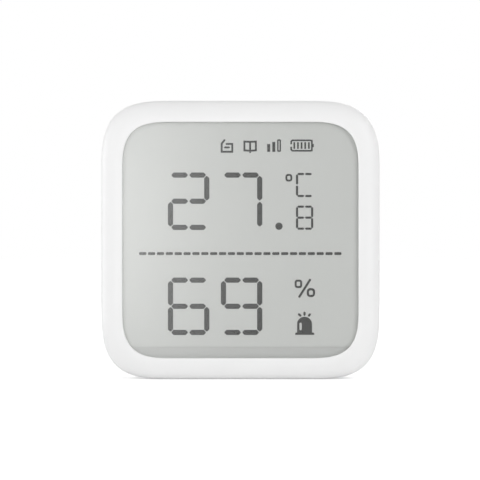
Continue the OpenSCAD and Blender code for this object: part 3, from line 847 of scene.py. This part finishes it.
@dataclass(frozen=True)
class DigitCell:
    """Sizes of one display digit."""

    width: float
    height: float
    stroke: float
    end_gap: float
    bar_gap: float
    tip: float = 0.4

    def bars(self, left: float, top: float, glyph: str) -> list[tuple[Point, Point]]:
        """Finds the bars of a glyph.

        Args:
            left: Left side of the digit.
            top: Top of the digit.
            glyph: Digit or letter that is shown.

        Returns:
            The ends of each bar's middle line.
        """
        half, gap = self.stroke / 2, self.bar_gap / 2
        right, bottom, middle = left + self.width, top - self.height, top - self.height / 2
        centre = left + self.width / 2
        levels = {Segment.TOP: top - half, Segment.MIDDLE: middle, Segment.BOTTOM: bottom + half}
        upper, lower = (top - self.end_gap, middle + gap), (middle - gap, bottom + self.end_gap)
        sides = {Segment.UPPER_LEFT: (left + half, *upper), Segment.UPPER_RIGHT: (right - half, *upper),
                 Segment.LOWER_LEFT: (left + half, *lower), Segment.LOWER_RIGHT: (right - half, *lower)}
        made = []
        for segment in Segment:
            if segment not in GLYPHS[glyph]:
                continue
            if segment in levels:
                z = levels[segment]
                made.append(((left + self.end_gap, z), (centre - gap, z)))
                made.append(((centre + gap, z), (right - self.end_gap, z)))
            else:
                x, high, low = sides[segment]
                made.append(((x, high), (x, low)))
        return made


class InkSheet(Solid):
    """Flat display marks, drawn across the front and then given a thin body."""

    def stroke(self, path: Sequence[Point], width: float, closed: bool = False,
               tip: float = 0.4) -> "InkSheet":
        """Adds a stroke along a path.

        Args:
            path: Points of its middle line.
            width: Width of the stroke.
            closed: Whether its end joins its start.
            tip: Share of the width that is taken off each corner of its ends.

        Returns:
            This sheet.
        """
        bm = self.bm
        number = self.numbers()
        sides = mitres(path, closed)
        verts = []
        for index, ((x, z), side) in enumerate(zip(path, sides)):
            vert = bm.verts.new((x + side.x * width / 2, 0, z + side.y * width / 2))
            vert[number] = index
            verts.append(vert)
        pairs = zip(verts, verts[1:] + verts[:1]) if closed else zip(verts, verts[1:])
        edges = [bm.edges.new(pair) for pair in pairs]
        grown = bmesh.ops.extrude_edge_only(bm, edges=edges)["geom"]
        far = [part for part in grown if isinstance(part, bmesh.types.BMVert)]
        for vert in far:
            side = sides[vert[number]]
            vert.co -= Vector((side.x, 0, side.y)) * width
        if not closed and tip:
            ends = [vert for vert in verts + far if vert[number] in (0, len(path) - 1)]
            bmesh.ops.bevel(bm, geom=ends, offset=tip * width, offset_type="OFFSET", affect="VERTICES",
                            segments=1, profile=0.5, material=-1)
        return self

    def ring(self, low: Point, high: Point, width: float, corner: float) -> "InkSheet":
        """Adds a ring in the shape of a rounded square.

        Args:
            low: Lowest outer corner.
            high: Highest outer corner.
            width: Width of its stroke.
            corner: Radius of its middle line's corners.

        Returns:
            This sheet.
        """
        half_w, half_h = (high[0] - low[0] - width) / 2, (high[1] - low[1] - width) / 2
        centre = ((low[0] + high[0]) / 2, (low[1] + high[1]) / 2)
        path = []
        for turn_x, turn_z, start in ((1, 1, 0), (-1, 1, 90), (-1, -1, 180), (1, -1, 270)):
            for step in range(RING_STEPS + 1):
                angle = math.radians(start + 90 * step / RING_STEPS)
                path.append((centre[0] + turn_x * (half_w - corner) + corner * math.cos(angle),
                             centre[1] + turn_z * (half_h - corner) + corner * math.sin(angle)))
        return self.stroke(path, width, closed=True)

    def patch(self, low: Point, high: Point, top_round: float = 0.0) -> "InkSheet":
        """Adds a filled patch, whose upper corners may be round.

        Args:
            low: Lowest corner.
            high: Highest corner.
            top_round: Radius of the upper corners.

        Returns:
            This sheet.
        """
        middle = (low[0] + high[0]) / 2
        before = set(self.bm.verts)
        self.stroke([(middle, low[1]), (middle, high[1])], high[0] - low[0], tip=0)
        if top_round:
            level = (low[1] + high[1]) / 2
            upper = [vert for vert in self.bm.verts if vert not in before and vert.co.z > level]
            bmesh.ops.bevel(self.bm, geom=upper, offset=top_round, offset_type="OFFSET", affect="VERTICES",
                            segments=PATCH_STEPS, profile=0.5, material=-1)
        return self

    def dot(self, centre: Point, radius: float) -> "InkSheet":
        """Adds a round dot.

        Args:
            centre: Its middle.
            radius: Its radius.

        Returns:
            This sheet.
        """
        verts = bmesh.ops.create_circle(self.bm, cap_ends=True, segments=DOT_SIDES, radius=radius)["verts"]
        for vert in verts:
            vert.co = (centre[0] + vert.co.x, 0, centre[1] + vert.co.y)
        return self

    def thicken(self, back: float, thickness: float) -> "InkSheet":
        """Gives the flat marks a thin body.

        Args:
            back: Depth of their back.
            thickness: Thickness towards the front.

        Returns:
            This sheet.
        """
        bm = self.bm
        bmesh.ops.translate(bm, verts=bm.verts, vec=(0, back, 0))
        grown = bmesh.ops.extrude_face_region(bm, geom=bm.faces[:], use_keep_orig=True)["geom"]
        raised = [part for part in grown if isinstance(part, bmesh.types.BMVert)]
        bmesh.ops.translate(bm, verts=raised, vec=(0, -thickness, 0))
        bmesh.ops.recalc_face_normals(bm, faces=bm.faces)
        return self


def mitres(path: Sequence[Point], closed: bool) -> list[Vector]:
    """Finds how far the side of a stroke lies from each point of its path.

    Args:
        path: Points of the middle line.
        closed: Whether its end joins its start.

    Returns:
        For each point, the offset of a stroke whose half width is one.
    """
    points = [Vector(point) for point in path]
    runs = [(after - before).normalized() for before, after in zip(points, points[1:] + points[:1])]
    normals = [Vector((-run.y, run.x)) for run in runs]
    sides = []
    for index in range(len(points)):
        before, after = normals[index - 1], normals[index]
        if not closed and index == 0:
            before = after
        if not closed and index == len(points) - 1:
            after = before
        sides.append((before + after) / (1 + before.dot(after)))
    return sides


@dataclass
class Display:
    """Marks on the display: two readings, their units, a divider, a row of signs and the ledge's band."""

    outline: SoftOutline = SoftOutline()
    film_at: float = 1.1
    glass_at: float = 1.3
    ink_t: float = 0.03
    ledge_inset: float = 3.6
    ledge_top: float = -23.31
    large: DigitCell = DigitCell(width=9.06, height=12.57, stroke=1.13, end_gap=0.79, bar_gap=0.4)
    small: DigitCell = DigitCell(width=3.8, height=5.3, stroke=0.49, end_gap=0.33, bar_gap=0.18)
    digit_left: float = -15.86
    digit_pitch: float = 11.58
    temperature_top: float = 14.78
    humidity_top: float = -8.2
    unit_left: float = 12.13
    tenths_top: float = 7.55
    degree_top: float = 14.69
    point_at: Point = (8.43, 3.03)
    point_radius: float = 0.8
    thin: float = 0.42

    def build(self) -> None:
        """Makes every mark."""
        temperature = self.reading("27", self.temperature_top).dot(self.point_at, self.point_radius)
        marks: dict[str, InkSheet] = {
            "temperature_digits": temperature,
            "humidity_digits": self.reading("69", self.humidity_top),
            "temperature_unit": self.temperature_unit(),
            "humidity_unit": self.humidity_unit(),
            "divider_dashes": self.divider(),
            "comfort_sign": self.comfort_sign(),
            "guide_sign": self.guide_sign(),
            "signal_sign": self.signal_sign(),
            "battery_sign": self.battery_sign(),
        }
        for name, sheet in marks.items():
            sheet.thicken(self.film_at, self.ink_t).piece(name, INK)
        self.alarm_sign().piece("alarm_sign", INK)
        self.ledge_band().piece("ledge_band", LEDGE)

    def ledge_band(self) -> Solid:
        """Returns the printed band that hides the contacts below the display."""
        front = self.glass_at - self.ink_t
        band = self.outline.loft([(self.ledge_inset, self.glass_at), (self.ledge_inset, front)])
        over = Solid().block((-WIDTH, 0, self.ledge_top), (WIDTH, self.glass_at + PAST, TOP))
        return band.joined(over, Join.CUT)

    def reading(self, text: str, top: float) -> InkSheet:
        """Draws a large two-digit reading.

        Args:
            text: Digits that are shown.
            top: Top of the digits.

        Returns:
            The sheet.
        """
        sheet = InkSheet()
        for index, glyph in enumerate(text):
            for start, end in self.large.bars(self.digit_left + index * self.digit_pitch, top, glyph):
                sheet.stroke([start, end], self.large.stroke, tip=self.large.tip)
        return sheet

    def temperature_unit(self) -> InkSheet:
        """Returns the degree sign, the unit's letter and the tenths."""
        sheet = InkSheet().ring((9.84, 12.8), (11.33, 14.45), 0.42, 0.35)
        for glyph, top in (("C", self.degree_top), ("8", self.tenths_top)):
            for start, end in self.small.bars(self.unit_left, top, glyph):
                sheet.stroke([start, end], self.small.stroke, tip=self.small.tip)
        return sheet

    def humidity_unit(self) -> InkSheet:
        """Returns the percent sign."""
        sheet = InkSheet().ring((11.85, -10.5), (13.51, -8.66), 0.46, 0.35)
        sheet.ring((14.5, -12.48), (16.34, -10.51), 0.5, 0.5)
        return sheet.stroke([(15.33, -8.52), (12.78, -12.57)], 0.5, tip=0.25)

    def divider(self) -> InkSheet:
        """Returns the dashed line between the readings."""
        count, first, pitch, z = 23, -22.15, 1.9406, -2.96
        length, width, tip = 1.56, 0.62, 0.2
        sheet = InkSheet()
        for index in range(count):
            x = first + index * pitch
            sheet.stroke([(x, z), (x + length, z)], width, tip=tip)
        return sheet

    def comfort_sign(self) -> InkSheet:
        """Returns the small house."""
        left, right, floor, eaves = -4.11, -1.79, 19.31, 21.02
        house = [(-3.36, 22.03), (left, 21.06), (left, floor), (right, floor), (right, eaves),
                 (-3.26, eaves)]
        return InkSheet().stroke(house, self.thin).stroke([(-3.6, 20.26), (-2.3, 20.26)], self.thin)

    def guide_sign(self) -> InkSheet:
        """Returns the open book."""
        left, spine, right, half = 0.87, 2.12, 3.38, self.thin / 2
        high, low, dip = 21.54, 19.61, 0.07
        pages = [(left, high), (spine, high - dip), (right, high), (right, low), (spine, low - dip),
                 (left, low)]
        sheet = InkSheet().stroke(pages, self.thin, closed=True)
        sheet.stroke([(spine, high - dip - half), (spine, low - dip + half)], self.thin, tip=0)
        return sheet.stroke([(spine, low - dip - half), (spine, low - 0.6)], self.thin, tip=0.3)

    def signal_sign(self) -> InkSheet:
        """Returns the three bars of the radio signal, of which the last is outlined."""
        floor = 19.29
        sheet = InkSheet().patch((5.85, floor), (6.51, 21.0)).patch((6.96, floor), (7.62, 21.46))
        return sheet.ring((8.03, floor), (8.86, 22.04), 0.31, 0.13)

    def battery_sign(self) -> InkSheet:
        """Returns the battery and its five bars."""
        left, right, low, high, turn = 11.1, 15.45, 19.53, 21.81, 0.25
        middle, gap, width = (low + high) / 2, 0.28, 0.36
        sheet = InkSheet()
        for level, way in ((high, -1), (low, 1)):
            edge = [(left, middle - way * gap), (left, level + way * turn), (left + turn, level),
                    (right, level)]
            sheet.stroke(edge, width, tip=0)
        sheet.stroke([(right + width / 2, high + width / 2), (right + width / 2, low - width / 2)], width)
        nub_half, nub_end = 0.36, 0.6
        sheet.patch((right + width, middle - nub_half), (right + nub_end, middle + nub_half))
        count, first, pitch, half, floor, top = 5, 11.78, 0.797, 0.19, 19.95, 21.4
        for index in range(count):
            x = first + pitch * index
            sheet.patch((x - half, floor), (x + half, top))
        return sheet

    def alarm_sign(self) -> Solid:
        """Returns the warning lamp with its glint and rays."""
        stroke = 0.5
        rays = (((14.02, -15.66), (14.02, -16.57)), ((12.61, -16.08), (13.3, -16.67)),
                ((15.32, -16.06), (14.84, -16.72)))
        sheet = InkSheet().patch((12.39, -20.22), (15.66, -16.78), top_round=1.6)
        sheet.patch((11.96, -20.73), (16.15, -20.22), top_round=0.25)
        for ray in rays:
            sheet.stroke(ray, stroke, tip=0.35)
        sheet.thicken(self.film_at, self.ink_t)
        glint = InkSheet().stroke([(13.16, -18.05), (13.16, -19.75)], stroke)
        glint.thicken(self.film_at + 2 * self.ink_t, 4 * self.ink_t)
        return sheet.joined(glint, Join.CUT)


@dataclass
class Cells:
    """Two cells in their jackets, and the springs that press on them."""

    axis_depth: float = 15.15
    pitch: float = 11.5
    bay_half: float = 25.3
    contact_t: float = 0.3
    contact_boss: float = 0.5
    length: float = 44.5
    can_radius: float = 5.08
    jacket_radius: float = 5.25
    jacket_t: float = 0.15
    jacket_gap: float = 0.7
    cap_radius: float = 1.9
    cap_h: float = 1.0
    can_round: float = 0.55
    cap_round: float = 0.3
    groove_depth: float = 0.25
    flat_groove: Point = (1.6, 1.3)
    cap_groove: Point = (0.9, 0.5)
    cap_foot: float = 0.1
    band_length: float = 10.0
    band_spread: float = 5.0
    spring_length: float = 5.0
    wire_radius: float = 0.3
    curls: int = 3
    base_radius: float = 3.5
    tip_radius: float = 2.3
    curl_steps: int = 40
    wire_sides: int = 12

    def build(self) -> None:
        """Makes the cells and the springs."""
        upper_end = -self.bay_half + self.contact_t + self.contact_boss + self.length
        lower_end = -self.bay_half + self.contact_t + self.spring_length
        self.cell("upper_cell", upper_end, -1, self.pitch / 2)
        self.cell("lower_cell", lower_end, 1, -self.pitch / 2)
        self.spring("negative_spring", -self.bay_half + self.contact_t, 1, -self.pitch / 2)
        self.spring("bridge_spring", self.bay_half - self.contact_t, -1, self.pitch / 2)

    def cell(self, name: str, flat_end: float, way: int, z: float) -> None:
        """Makes one cell and its jacket.

        Args:
            name: Name of its CAD node.
            flat_end: Place of its flat end along X.
            way: Direction from the flat end to the cap, as 1 or -1.
            z: Height of its axis.
        """
        shoulder = self.length - self.cap_h
        bend, cap_bend = self.can_round, self.cap_round
        edge = [(bend * a, self.can_radius - bend * b) for a, b in quarter(5)]
        crown = [(shoulder - bend * a, self.can_radius - bend * b) for a, b in reversed(quarter(5))]
        cap = [(self.length - cap_bend * a, self.cap_radius - cap_bend * b) for a, b in reversed(quarter(4))]
        flat, flat_floor = (self.can_radius - inset for inset in self.flat_groove)
        ledge, ledge_floor = (self.cap_radius + reach for reach in self.cap_groove)
        profile = [(0.0, 0.0), (0.0, flat), (self.groove_depth, flat_floor), *edge, *crown,
                   (shoulder, ledge), (shoulder - self.groove_depth, ledge_floor),
                   (shoulder - self.cap_foot, self.cap_radius), *cap, (self.length, 0.0)]
        can = [(flat_end + way * along, radius) for along, radius in profile]
        Solid().lathe(can, self.axis_depth, z).piece(f"{name}_can", CAN, stands_for=[name], sharp_deg=40)
        start, end, lip = self.jacket_gap, shoulder - self.jacket_gap, self.jacket_t / 2
        inner = self.jacket_radius - self.jacket_t
        tube = [(start, inner), (start, self.jacket_radius - lip), (start + lip, self.jacket_radius),
                (end - lip, self.jacket_radius), (end, self.jacket_radius - lip), (end, inner)]
        sleeve = [(flat_end + way * along, radius) for along, radius in tube]
        band_at = flat_end + way * (end - self.band_length)
        spread = way * self.band_spread
        film = BandedFilm(f"{name}_film", (0.09, 0.15, 0.3), roughness=0.22, coat=0.6, unevenness=0.03,
                          band_colour=(0.55, 0.5, 0.42), band_from=band_at + spread, band_to=band_at - spread)
        jacket = Solid().lathe(sleeve, self.axis_depth, z).piece(
            f"{name}_sleeve", film, stands_for=[f"{name}_jacket"], sharp_deg=60)

    def spring(self, name: str, plate: float, way: int, z: float) -> None:
        """Makes one contact spring.

        Args:
            name: Name of its CAD node.
            plate: Place of its wide end along X.
            way: Direction from the plate to the cell, as 1 or -1.
            z: Height of its axis.
        """
        steps = self.curls * self.curl_steps
        run = self.spring_length - 4 * self.wire_radius

        def line(step: float) -> Vector:
            """Finds a point of the wire's middle line.

            Args:
                step: Steps along the wire, which may lie past an end.

            Returns:
                The point.
            """
            share = min(max(step / steps, 0.0), 1.0)
            turn = math.tau * self.curls * share
            radius = self.base_radius + (self.tip_radius - self.base_radius) * share
            along = 2 * self.wire_radius + run * share
            along = 0.0 if step < 0 else self.spring_length if step > steps else along
            return Vector((plate + way * along, self.axis_depth + radius * math.sin(turn),
                           z - radius * math.cos(turn)))

        def place(ring: int, index: int) -> Point3:
            """Finds a point round the wire.

            Args:
                ring: Number of the ring.
                index: Number of the point in its ring.

            Returns:
                The point.
            """
            here = line(ring - 1)
            turn = math.tau * self.curls * min(max((ring - 1) / steps, 0.0), 1.0)
            out = Vector((0, math.sin(turn), -math.cos(turn)))
            square = ring in (0, steps + 2)
            run_way = Vector((way, 0, 0)) if square else (line(ring) - line(ring - 2)).normalized()
            across = out.cross(run_way).normalized()
            angle = math.tau * index / self.wire_sides
            return here + self.wire_radius * (math.cos(angle) * out + math.sin(angle) * across)

        Solid().loft(self.wire_sides, steps + 3, place).piece(f"{name}_coil", WIRE, stands_for=[name],
                                                             sharp_deg=60)


@dataclass
class InnerWorks:
    """CAD nodes that keep their shape, and the raised polarity signs of the chassis."""

    plate_back: float = 14.5
    sign_x: float = 21.5
    sign_z: float = 15.3
    sign_size: float = 2.4
    sign_stroke: float = 0.6
    sign_h: float = 0.2

    def build(self) -> None:
        """Dresses the nodes and makes the signs."""
        finishes: dict[str, Finish | ClearPane] = {
            "lens_tape": TAPE, "display_lens": LENS, "lcd_polariser": FILM, "lcd_front_glass": GLASS,
            "lcd_rear_glass": GLASS, "lcd_reflector": GROUND, "lcd_carrier": GREY_FRAME,
            "zebra_strip": RUBBER, "main_board": LAMINATE, "microcontroller": RESIN,
            "clock_crystal": STEEL, "chip_antenna": PALE_CERAMIC, "board_capacitors": TAN_CERAMIC,
            "sensor_chip": RESIN, "sensor_gasket": FOAM, "switch_body": RESIN, "switch_plunger": RESIN,
            "pair_button": BUTTON, "rear_chassis": CHASSIS, "chassis_screws": STEEL,
            "positive_contact": PLATE, "negative_contact": PLATE, "contact_bridge": PLATE,
        }
        for name, finish in finishes.items():
            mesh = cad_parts[name].data
            mesh.materials.clear()
            mesh.materials.append(finish.material())
            LOG.info("dressed %s", name)
        self.signs().piece("polarity_signs", CHASSIS, edge_mm=0.06)

    def signs(self) -> Solid:
        """Returns the plus and minus signs beside the ends of the cells."""
        made = Solid()
        reach, half = self.sign_size / 2, self.sign_stroke / 2
        top, root = self.plate_back + self.sign_h, self.plate_back
        for x, z, plus in ((-self.sign_x, self.sign_z, True), (self.sign_x, self.sign_z, False),
                           (-self.sign_x, -self.sign_z, False), (self.sign_x, -self.sign_z, True)):
            made.block((x - reach, root, z - half), (x + reach, top, z + half))
            if plus:
                made.block((x - half, root, z + half), (x + half, top, z + reach))
                made.block((x - half, root, z - reach), (x + half, top, z - half))
        return made


@dataclass(frozen=True)
class Softbox:
    """A flat lamp: its place and size in metres, and the brightness of a white sheet at its aim."""

    name: str
    place: Point3
    width: float
    height: float
    brightness: float

    def build(self, aim: Vector) -> None:
        """Makes the lamp.

        Args:
            aim: Point that it faces.
        """
        lamp = bpy.data.lights.new(self.name, "AREA")
        lamp.shape = "RECTANGLE"
        lamp.size, lamp.size_y = self.width, self.height
        way = aim - Vector(self.place)
        lamp.energy = self.brightness * math.pi ** 2 * way.length_squared
        thing = add_object(self.name, lamp)
        thing.location = self.place
        thing.rotation_euler = way.to_track_quat("-Z", "Y").to_euler()


@dataclass
class Studio:
    """Camera, soft lamps, white surroundings and a pale floor."""

    focal_mm: float = 342.4
    sensor_mm: float = 36.0
    camera_place: Point3 = (-0.000096, -1.00865, 0.030513)
    ambient: float = 0.41
    near_glow: float = 0.46
    far_glow: float = 0.66
    glow_reach: float = 0.5
    floor_half: float = 6.0
    floor_low: float = 0.91
    floor_high: float = 0.93
    floor_cloud_mm: float = 40.0
    lamps: tuple[Softbox, ...] = (
        Softbox("key_lamp", (-0.6, -1.0, 0.42), 1.0, 0.75, 0.125),
        Softbox("strip_lamp", (-0.064, -0.31, 0.0385), 0.075, 0.073, 0.135),
        Softbox("fill_lamp", (0.6, -0.8, 0.3), 0.6, 0.5, 0.23),
        Softbox("left_lamp", (-0.6, 0.0, 0.06), 0.3, 0.3, 0.35),
        Softbox("right_lamp", (0.6, 0.0, 0.06), 0.3, 0.3, 0.1),
        Softbox("top_lamp", (0.0, -0.1, 0.7), 0.5, 0.5, 0.08),
        Softbox("back_lamp", (0.45, 0.9, 0.5), 0.6, 0.6, 0.27),
    )

    def build(self) -> None:
        """Makes the studio."""
        scene = bpy.context.scene
        scene.view_settings.view_transform = "Standard"
        camera = bpy.data.cameras.new("camera")
        camera.lens = self.focal_mm
        camera.sensor_width = self.sensor_mm
        camera.clip_start, camera.clip_end = 0.01, 100
        eye = add_object("camera", camera)
        eye.location = self.camera_place
        eye.rotation_euler = (math.pi / 2, 0, 0)
        scene.camera = eye
        aim = Vector((0, 0, HEIGHT * MM / 2))
        for lamp in self.lamps:
            lamp.build(aim)
        self.surroundings()
        self.floor()

    def seen(self, tree: bpy.types.NodeTree) -> Socket:
        """Adds nodes that tell rays that show the surroundings from rays that light the object.

        Args:
            tree: Node tree that gets them.

        Returns:
            One for rays from the camera, a mirror or a pane, and otherwise zero.
        """
        path = add_node(tree, "ShaderNodeLightPath")
        total = path.outputs["Is Camera Ray"]
        for label in ("Is Glossy Ray", "Is Transmission Ray"):
            either = add_node(tree, "ShaderNodeMath", {0: total, 1: path.outputs[label]})
            either.operation = "MAXIMUM"
            total = either.outputs["Value"]
        return total

    def surroundings(self) -> None:
        """Makes the world white to look at, and a soft plain light."""
        world = bpy.data.worlds.new("studio")
        world.use_nodes = True
        bpy.context.scene.world = world
        tree = world.node_tree
        values = {"Value": self.seen(tree), "To Min": self.ambient, "To Max": 1.0}
        strength = add_node(tree, "ShaderNodeMapRange", values)
        background = tree.nodes["Background"]
        background.inputs["Color"].default_value = (1, 1, 1, 1)
        tree.links.new(strength.outputs["Result"], background.inputs["Strength"])

    def floor(self) -> None:
        """Makes the pale floor, which looks white and keeps a soft shadow."""
        bm = bmesh.new()
        bmesh.ops.create_grid(bm, x_segments=1, y_segments=1, size=self.floor_half)
        bench = NodeBench("studio_floor")
        paint = bench.ramp(bench.noise(self.floor_cloud_mm), [(NOISE_LOW, (self.floor_low,) * 3),
                                                              (NOISE_HIGH, (self.floor_high,) * 3)])
        diffuse = bench.add("ShaderNodeBsdfDiffuse", {"Color": paint}).outputs["BSDF"]
        away = bench.add("ShaderNodeVectorMath", {0: bench.place})
        away.operation = "LENGTH"
        level = bench.add("ShaderNodeMapRange", {
            "Value": away.outputs["Value"], "From Max": self.glow_reach, "To Min": self.near_glow,
            "To Max": self.far_glow}).outputs["Result"]
        glow = bench.add("ShaderNodeMath", {0: self.seen(bench.tree), 1: level})
        glow.operation = "MULTIPLY"
        light = bench.add("ShaderNodeEmission", {"Color": (1, 1, 1, 1),
                                                 "Strength": glow.outputs["Value"]}).outputs["Emission"]
        shader = bench.add("ShaderNodeAddShader", {0: diffuse, 1: light}).outputs["Shader"]
        thing = add_mesh("floor", bm)
        thing.data.materials.append(bench.close(shader))


def main() -> None:
    """Builds the studio and then each sub-assembly of the sensor."""
    logging.basicConfig(level=logging.INFO, format="%(message)s")
    for maker in (Studio(), Shell(), Display(), Cells(), InnerWorks()):
        maker.build()
        LOG.info("built %s", type(maker).__name__)


if __name__ == "__main__":
    main()
